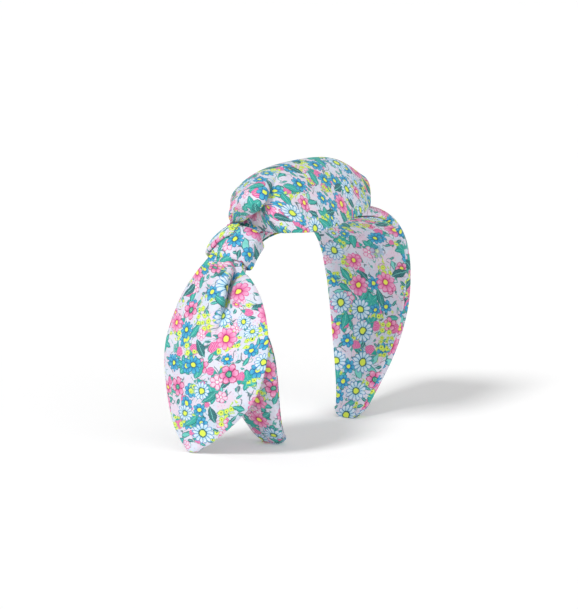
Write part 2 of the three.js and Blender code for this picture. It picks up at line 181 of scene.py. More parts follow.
def outward(s):
    """The direction away from the head, which turns level at the very ends of the arms."""
    inside = np.clip(s, TANGENT_REACH, HOOP_LENGTH - TANGENT_REACH)
    x0, z0 = hoop_at(inside - TANGENT_REACH)
    x1, z1 = hoop_at(inside + TANGENT_REACH)
    size = np.hypot(x1 - x0, z1 - z0)
    x, z = -(z1 - z0) / size, (x1 - x0) / size
    level = 1 - smoothstep(from_foot(s), *TIP_LEVEL)
    mitre = np.sign(s - MIDDLE) / np.maximum(np.abs(x), 0.5)
    return x + (mitre - x) * level, z * (1 - level)


def on_hoop(s, y, h):
    """Points of the drawing frame at hoop coordinates."""
    s, y, h = np.broadcast_arrays(*(np.asarray(a, float) for a in (s, y, h)))
    x, z = hoop_at(s)
    out_x, out_z = outward(s)
    off = h - y * FLARE * np.minimum(1, from_foot(s) / FLARE_START)
    z = z + out_z * off
    return np.stack([x + out_x * off, y + RAKE * z + WAIST_SHIFT * gathers(s), z], -1)


def pad_at(s, across):
    """The foam's thickness. across runs from 0 in the middle of the band to 1 at its edge."""
    grown = from_foot(s) / PAD_TAPER
    full = np.minimum(1, grown) * (1 - PAD_SQUEEZE * bump(s, KNOT_AT, PAD_SQUEEZE_REACH))
    return PAD_EDGE * np.minimum(1, PAD_TIP_SHARE + grown) + PAD_CROWN * full * (1 - across**2)


def cover_top(s, across):
    """Height of the cover's outer face."""
    return CORE + 2 * GAP + pad_at(s, across) + CLOTH


# ---- Meshes ----
def shell(name, outer, inner, uv, ring=False):
    """A closed skin between two grids of points, with uv in millimetres as its map. A ring's last row
    joins its first, and its uv has one row more than its points."""
    rows, columns = outer.shape[:2]
    spans = rows if ring else rows - 1
    i, j = np.meshgrid(np.arange(spans), np.arange(columns - 1), indexing="ij")
    i, j = i.ravel(), j.ravel()
    layer = rows * columns
    uv_columns = uv.shape[1]

    def corner(side, row, column):
        return side * layer + (row % rows) * columns + column, row * uv_columns + column

    def rim(step, count, inward):
        """Faces that join the two grids at an edge, where step gives each step's row and column."""
        a, b = step(np.arange(count)), step(np.arange(count) + 1)
        order = ((0, a), (1, a), (1, b), (0, b)) if inward else ((0, a), (0, b), (1, b), (1, a))
        return [corner(side, *place) for side, place in order]

    sides = [
        [corner(0, i, j), corner(0, i + 1, j), corner(0, i + 1, j + 1), corner(0, i, j + 1)],
        [corner(1, i, j), corner(1, i, j + 1), corner(1, i + 1, j + 1), corner(1, i + 1, j)],
    ]
    sides.append(rim(lambda k: (k, 0 * k), spans, True))
    sides.append(rim(lambda k: (k, 0 * k + columns - 1), spans, False))
    if not ring:
        sides.append(rim(lambda k: (0 * k, k), columns - 1, False))
        sides.append(rim(lambda k: (0 * k + rows - 1, k), columns - 1, True))
    faces = np.concatenate([np.stack([c[0] for c in side], -1) for side in sides])
    maps = np.concatenate([np.stack([c[1] for c in side], -1) for side in sides])
    points = np.concatenate([outer.reshape(-1, 3), inner.reshape(-1, 3)])
    a, b, c, d = (points[faces[:, place]] for place in range(4))
    volume = np.einsum("ij,ij->", a, np.cross(b, c) + np.cross(c, d))
    if volume < 0:
        faces, maps = faces[:, ::-1], maps[:, ::-1]
    return mesh_object(name, (points + SHIFT) * MM, faces, uv.reshape(-1, 2)[maps.ravel()])


SHARP = math.radians(55)


def mesh_object(name, points, faces, loop_uv):
    """A smooth-shaded mesh object, with loop_uv as the map named print."""
    mesh = bpy.data.meshes.new(name)
    mesh.from_pydata(points.tolist(), [], faces.tolist())
    mesh.uv_layers.new(name="print").data.foreach_set("uv", loop_uv.astype(np.float32).ravel())
    mesh.shade_smooth()
    mesh.set_sharp_from_angle(angle=SHARP)
    obj = bpy.data.objects.new(name, mesh)
    bpy.context.scene.collection.objects.link(obj)
    return obj


def unit(vectors):
    return vectors / np.maximum(np.linalg.norm(vectors, axis=-1, keepdims=True), 1e-9)


def row_lengths(points):
    return np.linalg.norm(np.diff(points, axis=1), axis=2).sum(axis=1)[:, None]


def arc(points):
    """Distance along each row of points, measured from the row's middle."""
    steps = np.linalg.norm(np.diff(points, axis=1), axis=2)
    run = np.concatenate([np.zeros((len(points), 1)), np.cumsum(steps, axis=1)], axis=1)
    return run - run[:, points.shape[1] // 2][:, None]


def edge_to_edge(columns):
    """A row of places from -1 at one edge to 1 at the other, closest together at the edges."""
    return np.sin(np.linspace(-1, 1, columns) * math.pi / 2)[None, :]


def on_cloth(along, sideways, degrees, shift):
    """The place on the cloth of each point of a grid. Each piece is cut at its own turn and place."""
    u, v = np.broadcast_arrays(along, sideways)
    cosine, sine = math.cos(math.radians(degrees)), math.sin(math.radians(degrees))
    return np.stack([u * cosine - v * sine + shift[0], u * sine + v * cosine + shift[1]], -1)


def domed(q, power):
    """1 at q = 0, falling to 0 at -1 and 1: the higher the power, the later."""
    return np.sqrt(np.clip(1 - np.abs(q) ** power, 0, 1))


# ---- The padded cover ----
SECTION_MIDDLE = 1.2  # height at which the cover's section is widest
EDGE_ROUND = 2.2  # radius of its turn onto the head side
CROWN_FLATNESS, CROWN_ROUNDING = 4.5, 2.8  # powers of the curve over the foam
LEAST_LIP = 2.0  # how near the middle the turned-in edges may come
OVER_COLUMNS, TURN_COLUMNS, LIP_COLUMNS = 57, 8, 4
PLEAT_START, PLEAT_FULL, PLEAT_FADE, PLEAT_END = 11.0, 17.0, 15.0, 90.0  # from the knot's middle
PLEAT_DEPTH, PLEAT_DEPTH_AT_KNOT = 0.95, 0.25
COVER_SKIN = CLOTH - 0.1
COVER_PRINT = (40.0, 37.0)
FOOT_END = 0.7  # where the cover stops, just inside the folded tip
COVER_ROWS = 150


def arm_to_crown(foot_at, count):
    """Stations from a foot to the middle of the crown, closest together at the foot."""
    t = np.linspace(0, 1, count)[:, None]
    return foot_at + (MIDDLE - foot_at) * (0.25 * t**2.2 + 0.75 * t)


def cover_section(s):
    """The cover's outer section at each s: y and h, from one lip round over the foam to the other."""
    half = half_width(s)
    lip_level = -GAP - CLOTH
    q = edge_to_edge(OVER_COLUMNS)
    crown = cover_top(s, 0) - SECTION_MIDDLE
    rounded = (1 - np.abs(q) ** CROWN_FLATNESS) ** (1 / CROWN_ROUNDING)
    over_y = half * q
    over_h = SECTION_MIDDLE + crown * rounded + cover_pleats(s, q)
    turn = np.linspace(0, math.pi / 2, TURN_COLUMNS)[None, 1:]
    side_y = half - EDGE_ROUND * (1 - np.cos(turn))
    side_h = np.broadcast_to(SECTION_MIDDLE - (SECTION_MIDDLE - lip_level) * np.sin(turn), side_y.shape)
    inward = np.linspace(0, 1, LIP_COLUMNS)[None, 1:]
    lip_end = np.maximum(half - COVER_LIP, LEAST_LIP)
    lip_y = half - EDGE_ROUND + (lip_end - half + EDGE_ROUND) * inward
    lip_h = np.full_like(lip_y, lip_level)
    y = np.concatenate([-lip_y[:, ::-1], -side_y[:, ::-1], over_y, side_y, lip_y], axis=1)
    h = np.concatenate([lip_h[:, ::-1], side_h[:, ::-1], over_h, side_h, lip_h], axis=1)
    return y, h


def cover_pleats(s, q):
    """Gathers that run out from the knot, and slack wrinkles along the rest of the band."""
    away = np.abs(s - KNOT_AT)
    fading = np.exp(-np.maximum(0, away - PLEAT_FULL) / PLEAT_FADE)
    grown = PLEAT_DEPTH * smoothstep(away, PLEAT_START, PLEAT_FULL) * fading
    strength = (PLEAT_DEPTH_AT_KNOT + grown) * (away < PLEAT_END)
    ridges = np.cos(TURN * (3.2 * q + 0.35 * np.sin(4 * q + 0.6) + 0.002 * away))
    ridges = 0.6 * ridges + 0.4 * np.cos(TURN * (5.3 * q - 0.11) + 0.04 * away)
    slack = 0.10 * np.sin(s * 0.21 + 5 * q) * np.sin(s * 0.083 + 2.2) + 0.07 * np.sin(s * 0.37 - 9 * q)
    quiet_ends = smoothstep(from_foot(s), 6, 25)
    return (strength * ridges + slack * quiet_ends) * (1 - q**4)


def section_inward(y, h, thickness):
    """A section moved inward by a thickness, square to its own line."""
    dy, dh = np.gradient(y, axis=1), np.gradient(h, axis=1)
    size = np.maximum(np.hypot(dy, dh), 1e-6)
    return y + dh / size * thickness, h - dy / size * thickness


def cover(name, foot):
    """One half of the cover, from a foot, where it is drawn in, to the middle of the crown."""
    s = arm_to_crown(foot, COVER_ROWS)
    y, h = cover_section(s)
    drawn_in = 1 - 0.35 * np.maximum(0, 1 - (from_foot(s) - 0.6) / 1.6) ** 2.2
    y, h = y * drawn_in, SECTION_MIDDLE + (h - SECTION_MIDDLE) * drawn_in
    outer = on_hoop(s, y, h)
    inner = on_hoop(s, *section_inward(y, h, COVER_SKIN))
    return shell(name, outer, inner, on_cloth(s, arc(outer), 0, COVER_PRINT))


# ---- The lining and the folded tips ----
LINING_TOP = -CLOTH - 2 * GAP
LINING_MARGIN = 0.8
LINING_FOOT = 3.2  # where the lining stops, under the folded tip
LINING_ROWS, LINING_COLUMNS = 130, 33
LINING_EDGE = 1.2  # width of the rolled edge
LINING_EDGE_THICKNESS = 0.15
LINING_PRINT = (420.0, 160.0)


def lining(name, foot):
    """One half of the lining, with rolled edges and a slight ripple that grows under the knot."""
    s = arm_to_crown(foot, LINING_ROWS)
    half = half_width(s) - LINING_MARGIN
    q = edge_to_edge(LINING_COLUMNS)
    y = half * q
    edge = np.minimum(1, (half - np.abs(y)) / LINING_EDGE)  # 0 at the edge
    roll = domed(1 - edge, 2)
    ripple = 0.08 * np.sin(s * 0.31 + 4 * q) + 0.05 * np.sin(s * 0.13 - 7 * q)
    ripple = ripple + 0.15 * near_knot(s, 16) * np.cos(16 * q)
    top = LINING_TOP - 0.12 * (1 - roll)
    full = LINING_EDGE_THICKNESS + (CLOTH - LINING_EDGE_THICKNESS) * roll
    outer, inner = on_hoop(s, y, LINING_TOP - full + ripple * roll), on_hoop(s, y, top)
    return shell(name, outer, inner, on_cloth(s, y, 0, LINING_PRINT))


TIP_ROWS, TIP_COLUMNS = 60, 25
TIP_SKIN = 0.15  # thickness of the folded cloth at its edges
TIP_ROLL = 0.25  # how much thicker it is elsewhere


def tip_fold(name, foot, direction):
    """The cloth turned over the end of an arm. Its path, as distances along the arm and heights, runs down
    the head side, under the foot and a little way up the outer face."""
    head_side = [[8.5, -2.15], [6.5, -2.2], [4.5, -2.2], [2.8, -2.25], [1.6, -2.2]]
    under = [[0.8, -1.9], [0.25, -1.3], [0.02, -0.5], [0.0, 0.4], [0.0, 1.3], [0.02, 2.2]]
    outer_face = [[0.25, 2.95], [0.8, 3.5], [1.5, 3.7]]
    line = catmull_rom(head_side + under + outer_face, np.linspace(0, 1, TIP_ROWS))
    along, height = line[:, :1], line[:, 1:]
    q = np.linspace(-1, 1, TIP_COLUMNS)[None, :]
    round_corner = 1 - 0.55 * smoothstep(along, 5.2, 8.6) ** 1.5
    half = (half_width(foot + direction * along) - 0.05) * round_corner
    edge = domed(q, 6)
    middle = SECTION_MIDDLE - 0.4
    y = half * q
    towards = np.clip((height - middle) / 3.2, -1, 1)
    skin = TIP_SKIN + TIP_ROLL * edge
    outer = on_hoop(foot + direction * np.maximum(along, 0.0), y, height)
    inner_along = along + skin * (1 - np.abs(towards))
    inner = on_hoop(foot + direction * inner_along, y, height - skin * towards)
    run = np.where(height < middle, along, -along)
    return shell(name, outer, inner, on_cloth(foot + direction * run, y, 0, LINING_PRINT))


# ---- The knot ----
COVER_AT_KNOT = float(cover_top(KNOT_AT, 0))
WRAP_HALF = float(half_width(np.array(KNOT_AT + KNOT_HALF))) + GAP + 0.3
WRAP_FLOOR = LINING_TOP - CLOTH - GAP - 0.2
WRAP_TOP = COVER_AT_KNOT + GAP + BOW_WAIST + GAP
WRAP_CORNER, WRAP_SHOULDER, WRAP_ROUNDING = 0.6, 4.4, 3.4
WRAP_TOP_PULL = 0.55  # how far out its top stays flat
WRAP_NARROWING, WRAP_DROOP = 0.4, 1.5  # at the back edge
WRAP_ROWS, WRAP_COLUMNS, CROSSOVER_COLUMNS = 180, 47, 29


def bezier(a, b, c, d, count):
    """Points on a cubic curve from a to d, without d itself."""
    t = np.linspace(0, 1, count, endpoint=False)[:, None]
    a, b, c, d = (np.array(p, float) for p in (a, b, c, d))
    return a * (1 - t) ** 3 + 3 * b * t * (1 - t) ** 2 + 3 * c * t**2 * (1 - t) + d * t**3


def straight(a, b, count):
    return bezier(a, np.add(a, b) / 2, np.add(a, b) / 2, b, count)


def wrap_path(count):
    """The wrap's inner face across the band, evenly spaced from the head side's middle, and its outward
    directions."""
    half, low, corner, top = WRAP_HALF, WRAP_FLOOR, WRAP_CORNER, WRAP_TOP
    square, shoulder = (half, low), (half, WRAP_SHOULDER)
    one_side = np.vstack([
        straight((0, low), (half - corner, low), 40),
        bezier((half - corner, low), square, square, (half, low + corner), 12),
        straight((half, low + corner), shoulder, 40),
        bezier(shoulder, (half, top - WRAP_ROUNDING), (half * WRAP_TOP_PULL, top), (0, top), 80),
        [(0, top)],
    ])
    closed = np.vstack([one_side, one_side[-2::-1] * (-1, 1)])
    run = run_along(closed)
    at = np.linspace(0, run[-1], count, endpoint=False)
    even = np.stack([np.interp(at, run, closed[:, k]) for k in (0, 1)], -1)
    along = unit(np.roll(even, -2, axis=0) - np.roll(even, 2, axis=0))
    return even, np.stack([along[:, 1], -along[:, 0]], -1), float(run[-1])


CROSSOVER_FROM, CROSSOVER_TO = 12 / 54, 28.5 / 54  # how far round the wrap it starts and ends


def crossover_middle(t):
    """The crossover's middle line, along the hoop from the knot's middle."""
    return -3.5 + 9.0 * smoothstep(t, 0.25, 1)


def crossover_half(t):
    """Half the crossover's width."""
    return 3.5 + 0.9 * bump(t, 0.72, 0.3)


def off_wrap_path(s, path, out, height):
    """Points at a height over the wrap's path."""
    return on_hoop(s, path[:, :1] + out[:, :1] * height, path[:, 1:] + out[:, 1:] * height)


def knot_wrap():
    """The strip round the knot: soft folds run along it, its edges are turned under, and it is drawn
    narrow at the back edge."""
    path, out, girth = wrap_path(WRAP_ROWS)
    around = np.linspace(0, 1, WRAP_ROWS, endpoint=False)[:, None]
    y, h = path[:, :1], path[:, 1:]
    q = edge_to_edge(WRAP_COLUMNS)
    drawn_in = smoothstep(y, 0, WRAP_HALF)
    half = KNOT_HALF * (1 - WRAP_NARROWING * drawn_in)
    s = KNOT_AT - WRAP_DROOP * drawn_in + q * half
    outer_side = smoothstep(h, 0, 6)  # nothing but flat cloth against the head
    turned_edge = domed(q, 7)
    wander = 0.10 * np.sin(TURN * around * 3 + 1) + 0.06 * np.sin(TURN * around * 5)
    folds = np.cos(TURN * (1.7 * (q + wander) + 0.1)) * 0.20
    folds = folds + np.cos(TURN * (3.3 * (q - wander))) * 0.09
    tight = 1 + 0.4 * smoothstep(y, 2, WRAP_HALF)
    crease = 1.1 * bump(q, 0.10 + 0.9 * (around - 0.50), 0.09) * bump(around, 0.50, 0.045)
    along = (around - CROSSOVER_FROM) / (CROSSOVER_TO - CROSSOVER_FROM)
    beside = (crossover_middle(along) - crossover_half(along) + WRAP_DROOP * drawn_in) / half
    tuck = 1.5 * bump(q, beside - 0.04, 0.10)
    tuck = tuck * smoothstep(along, 0.0, 0.2) * smoothstep(1 - along, 0.1, 0.4)
    puff = 0.30 * (1 - q**2) * (1 - smoothstep(y, 2, WRAP_HALF))
    lift = (WRAP * turned_edge + 0.15) + outer_side * (folds * tight * (1 - q**6) + puff - crease - tuck)
    outer = off_wrap_path(s, path, out, lift)
    inner = off_wrap_path(s, path, out, 0.45 * (1 - turned_edge))
    run = np.linspace(0, girth * 1.12, WRAP_ROWS + 1)[:, None]
    place = on_cloth(run, 11.0 * q, 35, (655.0, 62.0))
    return shell("knot_wrap_folded", outer, inner, place, ring=True)


def knot_crossover():
    """The wrap's free end, slanting over the top and tucked down over the back edge."""
    path, out, girth = wrap_path(WRAP_ROWS)
    first, last = int(WRAP_ROWS * CROSSOVER_FROM), int(WRAP_ROWS * CROSSOVER_TO)
    path, out = path[first:last], out[first:last]
    t = np.linspace(0, 1, len(path))[:, None]
    q = edge_to_edge(CROSSOVER_COLUMNS)
    s = KNOT_AT + crossover_middle(t) + q * crossover_half(t)
    edge = domed(q, 4)
    ends = smoothstep(t, 0, 0.10) * (1 - 0.65 * smoothstep(t, 0.88, 1.0))
    clear = WRAP + 0.55
    folds = 0.22 * np.cos(TURN * (1.4 * q + 0.3 * t)) * (1 - q**4)
    high = clear + (0.35 + 1.5 * edge + folds) * ends
    low = clear - 0.35 + 0.2 * (1 - edge)
    outer = off_wrap_path(s, path, out, high)
    inner = off_wrap_path(s, path, out, low)
    place = on_cloth(girth * 0.33 * t, 4.6 * q, -20, (700.0, 45.0))
    return shell("knot_crossover_folded", outer, inner, place)


WAIST_MIDDLE, WAIST_HALF = 2.5, 8.1  # along the hoop from the knot's middle
WAIST_ROWS, WAIST_COLUMNS = 40, 120
WAIST_PINCH = 0.10


def bow_waist():
    """The gathered middle of the bow, pinched inside the wrap. It stops short of the lower tail."""
    along = np.linspace(-1, 1, WAIST_ROWS)[:, None]
    angle = np.linspace(0, TURN, WAIST_COLUMNS)[None, :]
    reach = WAIST_MIDDLE + WAIST_HALF * along
    low = COVER_AT_KNOT + 0.35
    high = WRAP_TOP - 0.9
    pinch = 1 - WAIST_PINCH * (1 - along**2)
    wide = (WRAP_HALF - 2.0) * pinch
    tall = (high - low) / 2 * pinch
    ruffle = 0.35 * np.cos(9 * angle) + 0.25 * np.cos(14 * angle + 1.3 + along)
    round_end = domed(along, 10) * 0.25 + 0.75
    y = (wide + ruffle) * np.cos(angle) * round_end
    middle = (high + low) / 2
    h = middle + (tall + 0.4 * ruffle) * np.sin(angle) * round_end
    outer = on_hoop(KNOT_AT + reach, y, h)
    inner = on_hoop(KNOT_AT + reach, y * 0.5, middle + (h - middle) * 0.5)
    return shell("bow_waist_gathered", outer, inner, on_cloth(reach, 8 * angle, 0, (800.0, 10.0)))


# ---- The bow tails ----
TAIL_LIFT = COVER_AT_KNOT + 2.4
TAIL_CREST = 3.6
ROOT_HALF, ROOT_FORWARD = 11.0, 1.0  # half the root's width, and how far forward it sits
ROOT_NARROWING = 0.12  # inside the knot
ROOT_SLANT = 1.5  # how much nearer the knot the root's back end is
ROOT_INNER_REACH = 3.5  # from the knot's middle to where the two tails' roots would end
ROOT_CORNER_DROP, ROOT_SINK = 1.4, 2.6
INSIDE_KNOT = (-0.55, -0.1)  # the part of a tail that runs on inside the knot, as u
TAIL_ROWS, TAIL_COLUMNS = 150, 121
CLOTH_APART, CLOTH_APART_AT_RIM, RIM = 0.74, 0.06, 2.6
SEAM_FOLD, SEAM_FROM, SEAM_TO = 0.14, (0.8, 2.4), (4.6, 5.4)  # the ridge of the turned-in cloth
TAIL_SKIN = 0.5
GATHER_REACH = 0.10
BACKING_SHIFT = 90.0  # between the two cloths' places on the print


class Tail:
    """One half of the bow: a leaf of two cloths sewn at the rim, gathered into the knot. u runs from the
    knot to the tip and v from the front edge to the back. The three guides are the front edge, the crest
    and the back edge. A fold has its place, its strength along u, and its depth and widths."""

    def __init__(self, side, clear, front, crest, back, folds):
        self.side = side
        self.clear = clear
        root = self.root_line(np.array([0.0, 0.5, 1.0]), 0.0)
        self.guides = [[corner] + line for corner, line in zip(root.tolist(), (front, crest, back))]
        self.folds = folds

    def root_line(self, v, into):
        """The root across v, or the line a share of the way from it to the knot's middle."""
        y = (ROOT_HALF * (2 * v - 1) - ROOT_FORWARD) * (1 - ROOT_NARROWING * into)
        mouth = KNOT_HALF + self.clear - ROOT_SLANT * np.maximum(0, 2 * v - 1)
        reach = mouth * (1 - into) + ROOT_INNER_REACH * into
        crest = TAIL_CREST - ROOT_SINK * smoothstep(into, 0, 0.45)
        corner = ROOT_CORNER_DROP * bump(v, 0, 0.15) * (1 - into)
        return on_hoop(KNOT_AT + self.side * reach, y, TAIL_LIFT + crest * 4 * v * (1 - v) - corner)

    def surface(self, u, v):
        """Points at u from the knot to the tip (negative inside the knot) and v from front to back."""
        front, crest, back = (catmull_rom(guide, np.maximum(u, 0)) for guide in self.guides)
        inside = self.root_line(v, np.clip(-u, 0, 1)) - self.root_line(v, 0 * u)
        v = v[..., None]
        leaf = front * (1 - v) * (1 - 2 * v) + crest * 4 * v * (1 - v) + back * v * (2 * v - 1)
        return leaf + inside

    def folded(self, u, v):
        """The middle surface with its folds and gathers."""
        base = self.surface(u, v)
        normal, sideways = grid_directions(base, self.side)
        width = row_lengths(base)
        lift, slide = np.zeros(u.shape), np.zeros(u.shape)
        for fold in self.folds:
            centre = np.interp(u, fold["us"], fold["vs"])
            d = (v - centre) * width
            strength = np.interp(u, fold["us"], fold["strength"])
            strength = strength * strength * (3 - 2 * strength)
            size = fold["width"]
            lift -= fold["depth"] * strength * hump(d, -0.4 * size, 2.6 * size, 1.0 * size)
            lift += fold["lobe"] * strength * hump(d, 2.0 * size, 1.1 * size, 4.0 * size)
            slide -= fold["overlap"] * strength * hump(d, 1.5 * size, 1.0 * size, 2.6 * size)
        lift += self.gathers(u, v) + self.ripples(u, v)
        return base + normal * lift[..., None] + sideways * slide[..., None]

    def gathers(self, u, v):
        """Small pleats that leave the knot and die away."""
        near = np.exp(-((np.maximum(u, 0) / GATHER_REACH) ** 1.3))
        pleats = 0.62 * np.cos(TURN * (4.3 * v + 0.2 * np.sin(5 * v)))
        pleats = pleats + 0.38 * np.cos(TURN * 7.1 * v + 1.0)
        return 0.5 * near * pleats * smoothstep(v, 0, 0.08) * smoothstep(1 - v, 0, 0.08)

    def ripples(self, u, v):
        """Slack in the cloth, more towards the rim."""
        slow = 0.35 * np.sin(7 * u + 5 * v + 0.7) * np.sin(4 * v - 3 * u + 0.4)
        rim = 0.28 * (2 * v - 1) ** 4 * np.sin(15 * u + 1.1)
        return (slow + rim) * smoothstep(u, 0.15, 0.5)

    def cloths(self, name, uv_turn, uv_shift):
        """The outward and inward cloths as two pieces."""
        u = np.concatenate([np.linspace(*INSIDE_KNOT, 5), np.linspace(0, 1, TAIL_ROWS) ** 1.25])
        even = np.linspace(0, 1, TAIL_COLUMNS)
        v = 0.55 * (0.5 - 0.5 * np.cos(math.pi * even)) + 0.45 * even  # closer together at the rim
        u, v = np.broadcast_arrays(u[:, None], v[None, :])
        middle = self.folded(u, v)
        normal, _ = grid_directions(middle, self.side)
        width = row_lengths(middle)
        length = np.linalg.norm(np.diff(middle, axis=0), axis=2).sum(axis=0).mean()
        rim = np.minimum(np.minimum(v, 1 - v) * width, (1 - u) * length)
        spread = CLOTH_APART_AT_RIM + CLOTH_APART * domed(1 - np.minimum(1, rim / RIM), 2)
        seam = SEAM_FOLD * (1 - smoothstep(rim, *SEAM_TO)) * smoothstep(rim, *SEAM_FROM)
        run = run_along(middle[:, TAIL_COLUMNS // 2])[:, None]
        uv = on_cloth(run, arc(middle), uv_turn, uv_shift)
        pieces = []
        for part, sign in (("face", 1), ("backing", -1)):
            near, far = sign * spread, sign * (spread + TAIL_SKIN + seam)
            outer, inner = middle + normal * far[..., None], middle + normal * near[..., None]
            place = uv if sign > 0 else uv[..., ::-1] + BACKING_SHIFT
            pieces.append(shell(f"{name}_{part}_cloth", outer, inner, place))
        return pieces


def grid_directions(points, side):
    """Unit normals and unit directions across, at each point of a grid."""
    along, sideways = np.gradient(points, axis=(0, 1))
    return unit(np.cross(along, sideways) * side), unit(sideways)


DEEP = dict(depth=8.0, width=2.6, overlap=7.0)
SHALLOW = dict(depth=1.6, width=3.0, overlap=0.8, lobe=0.6)
SHALLOW.update(us=[-1, 0, 0.2, 0.5], strength=[0.3, 0.8, 0.6, 0])

LOWER_TAIL = Tail(
    side=-1,
    clear=1.5,
    front=[[-77, -17, 88], [-83, -25, 63], [-87, -19, 36], [-86, 6, 11], [-85, 21, 1]],
    crest=[[-87, 7, 88], [-95, 8, 61], [-94, 12, 34], [-89, 19, 14], [-86, 24, 1]],
    back=[[-78, 33, 90], [-84, 41, 64], [-86, 41, 39], [-86, 36, 15], [-86, 27, 1]],
    folds=[
        dict(us=[-1, 0, 0.037, 0.075, 0.115, 0.173, 0.24, 0.42],
             vs=[0.2, 0.2, 0.26, 0.38, 0.44, 0.45, 0.44, 0.40],
             strength=[0.2, 0.3, 0.5, 0.85, 1, 0.9, 0.5, 0],
             lobe=4.0, **DEEP),
        dict(SHALLOW, vs=[0.75, 0.75, 0.78, 0.80]),
    ],
)

UPPER_TAIL = Tail(
    side=1,
    clear=3,
    front=[[-50, -16, 122.5], [-32, -25.8, 122], [-9, -27, 124], [11, -26, 126.5], [26, -22.5, 128]],
    crest=[[-59, 1, 142], [-38, 0, 151], [-8, 0, 154.5], [24, -2, 153], [43, -9, 141]],
    back=[[-52, 20, 130.5], [-39, 27.5, 138], [-12, 29, 139.5], [18, 22, 138], [38, 3, 135]],
    folds=[
        dict(us=[-1, 0, 0.05, 0.15, 0.22, 0.32, 0.45],
             vs=[0.58, 0.58, 0.53, 0.42, 0.40, 0.44, 0.50],
             strength=[0.2, 0.4, 0.75, 1, 0.75, 0.35, 0],
             lobe=3.6, **DEEP),
        dict(SHALLOW, vs=[0.84, 0.84, 0.82, 0.80]),
    ],
)


# ---- Shader building blocks ----
def linear(red, green, blue):
    """A colour given as 0 to 255 sRGB, as the linear values that nodes take."""
    shares = [c / 255 for c in (red, green, blue)]
    return (*(c / 12.92 if c <= 0.04045 else ((c + 0.055) / 1.055) ** 2.4 for c in shares), 1.0)


def arithmetic(operation):
    return lambda field, other: field.graph.math(operation, field, other)


class Field:
    """A value somewhere in a node tree, with arithmetic that adds the nodes."""

    def __init__(self, graph, socket):
        self.graph = graph
        self.socket = socket

    def __rsub__(self, other):
        return self.graph.math("SUBTRACT", other, self)

    def __abs__(self):
        return self.graph.math("ABSOLUTE", self)

    __add__ = __radd__ = arithmetic("ADD")
    __sub__ = arithmetic("SUBTRACT")
    __mul__ = __rmul__ = arithmetic("MULTIPLY")
    __truediv__ = arithmetic("DIVIDE")


class Graph:
    """Adds nodes to a tree. Inputs may be numbers, tuples or fields."""

    def __init__(self, tree):
        self.tree = tree

    def node(self, kind, inputs, out=0, **settings):
        made = self.tree.nodes.new(kind)
        for key, value in settings.items():
            setattr(made, key, value)
        for key, value in inputs.items():
            socket = made.inputs[key]
            if isinstance(value, Field):
                self.tree.links.new(value.socket, socket)
            else:
                socket.default_value = value
        return Field(self, made.outputs[out])

    def math(self, operation, *values, clamp=False):
        return self.node("ShaderNodeMath", dict(enumerate(values)), operation=operation, use_clamp=clamp)

    def vector(self, operation, *values, out=0):
        return self.node("ShaderNodeVectorMath", dict(enumerate(values)), out=out, operation=operation)

    def mix(self, amount, a, b):
        return self.node("ShaderNodeMix", {0: amount, 6: a, 7: b}, out=2, data_type="RGBA")

    def separate(self, vector):
        made = self.node("ShaderNodeSeparateXYZ", {0: vector}).socket.node
        return [Field(self, socket) for socket in made.outputs]

    def noise(self, p, size, detail, shift=None, out=0):
        """Noise from 0 to 1 whose features are about size millimetres across."""
        place = self.vector("ADD", p, (*shift, 0.0)) if shift else p
        inputs = {"Vector": place, "Scale": 1 / size, "Detail": detail, "Roughness": 0.5}
        return self.node("ShaderNodeTexNoise", inputs, out=out, noise_dimensions="2D")

    def under(self, value, edge, soft):
        """1 where value is under edge and 0 where it is over, with a soft step between."""
        return self.over(value, edge, -soft)

    def over(self, value, edge, soft):
        """1 where value is over edge and 0 where it is under, with a soft step between."""
        if isinstance(edge, Field):
            return self.math("MULTIPLY_ADD", value - edge, 1 / soft, 0.5, clamp=True)
        return self.math("MULTIPLY_ADD", value, 1 / soft, 0.5 - edge / soft, clamp=True)

    def scatter(self, p, size, shift, loose):
        """One motif place in each Voronoi cell: the offset from it, the room round it, and three random
        numbers."""
        moved = self.vector("ADD", p, (*shift, 0.0))
        inputs = {"Vector": moved, "Scale": 1 / size, "Randomness": loose}
        kind = "ShaderNodeTexVoronoi"
        cell = self.node(kind, inputs, out="Position", voronoi_dimensions="2D")
        sphere = {"voronoi_dimensions": "2D", "feature": "N_SPHERE_RADIUS"}
        room = self.node(kind, inputs, out="Radius", **sphere) * size
        chance = self.separate(Field(self, cell.socket.node.outputs["Color"]))
        return self.vector("SUBTRACT", moved, cell), room, chance

    def polar(self, offset, turn):
        """The distance from a motif's middle, and the angle in turns, from 0 to 1."""
        x, y, _ = self.separate(offset)
        angle = self.math("ARCTAN2", y, x) * (0.5 / math.pi) + turn
        return self.vector("LENGTH", offset, out=1), self.math("FRACT", angle)

    def turned(self, offset, turn):
        """Offset turned by a random share of a whole turn, as x and y."""
        inputs = {"Vector": offset, "Angle": turn * TURN}
        moved = self.node("ShaderNodeVectorRotate", inputs, rotation_type="Z_AXIS")
        return self.separate(moved)[:2]


# ---- The print ----
GROUND = linear(217, 219, 232)
PALE_PINK = linear(231, 205, 222)
WHITE = linear(228, 236, 246)
LIGHT_BLUE = linear(158, 212, 232)
SKY = linear(74, 184, 214)
BLUE = linear(14, 134, 190)
DEEP_BLUE = linear(12, 98, 156)
LIME = linear(222, 240, 76)
YELLOW = linear(240, 234, 88)
TEAL = linear(10, 164, 150)
DARK_TEAL = linear(0, 86, 94)
MINT = linear(122, 210, 200)
PINK = linear(242, 180, 212)
HOT_PINK = linear(218, 80, 150)
DEEP_PINK = linear(178, 34, 100)
INK = linear(24, 44, 60)
STEMS = [  # shift, size, width, tone
    ((0.0, 50.0), 13.0, 0.011, DARK_TEAL),
    ((80.0, 5.0), 10.0, 0.010, TEAL),
]


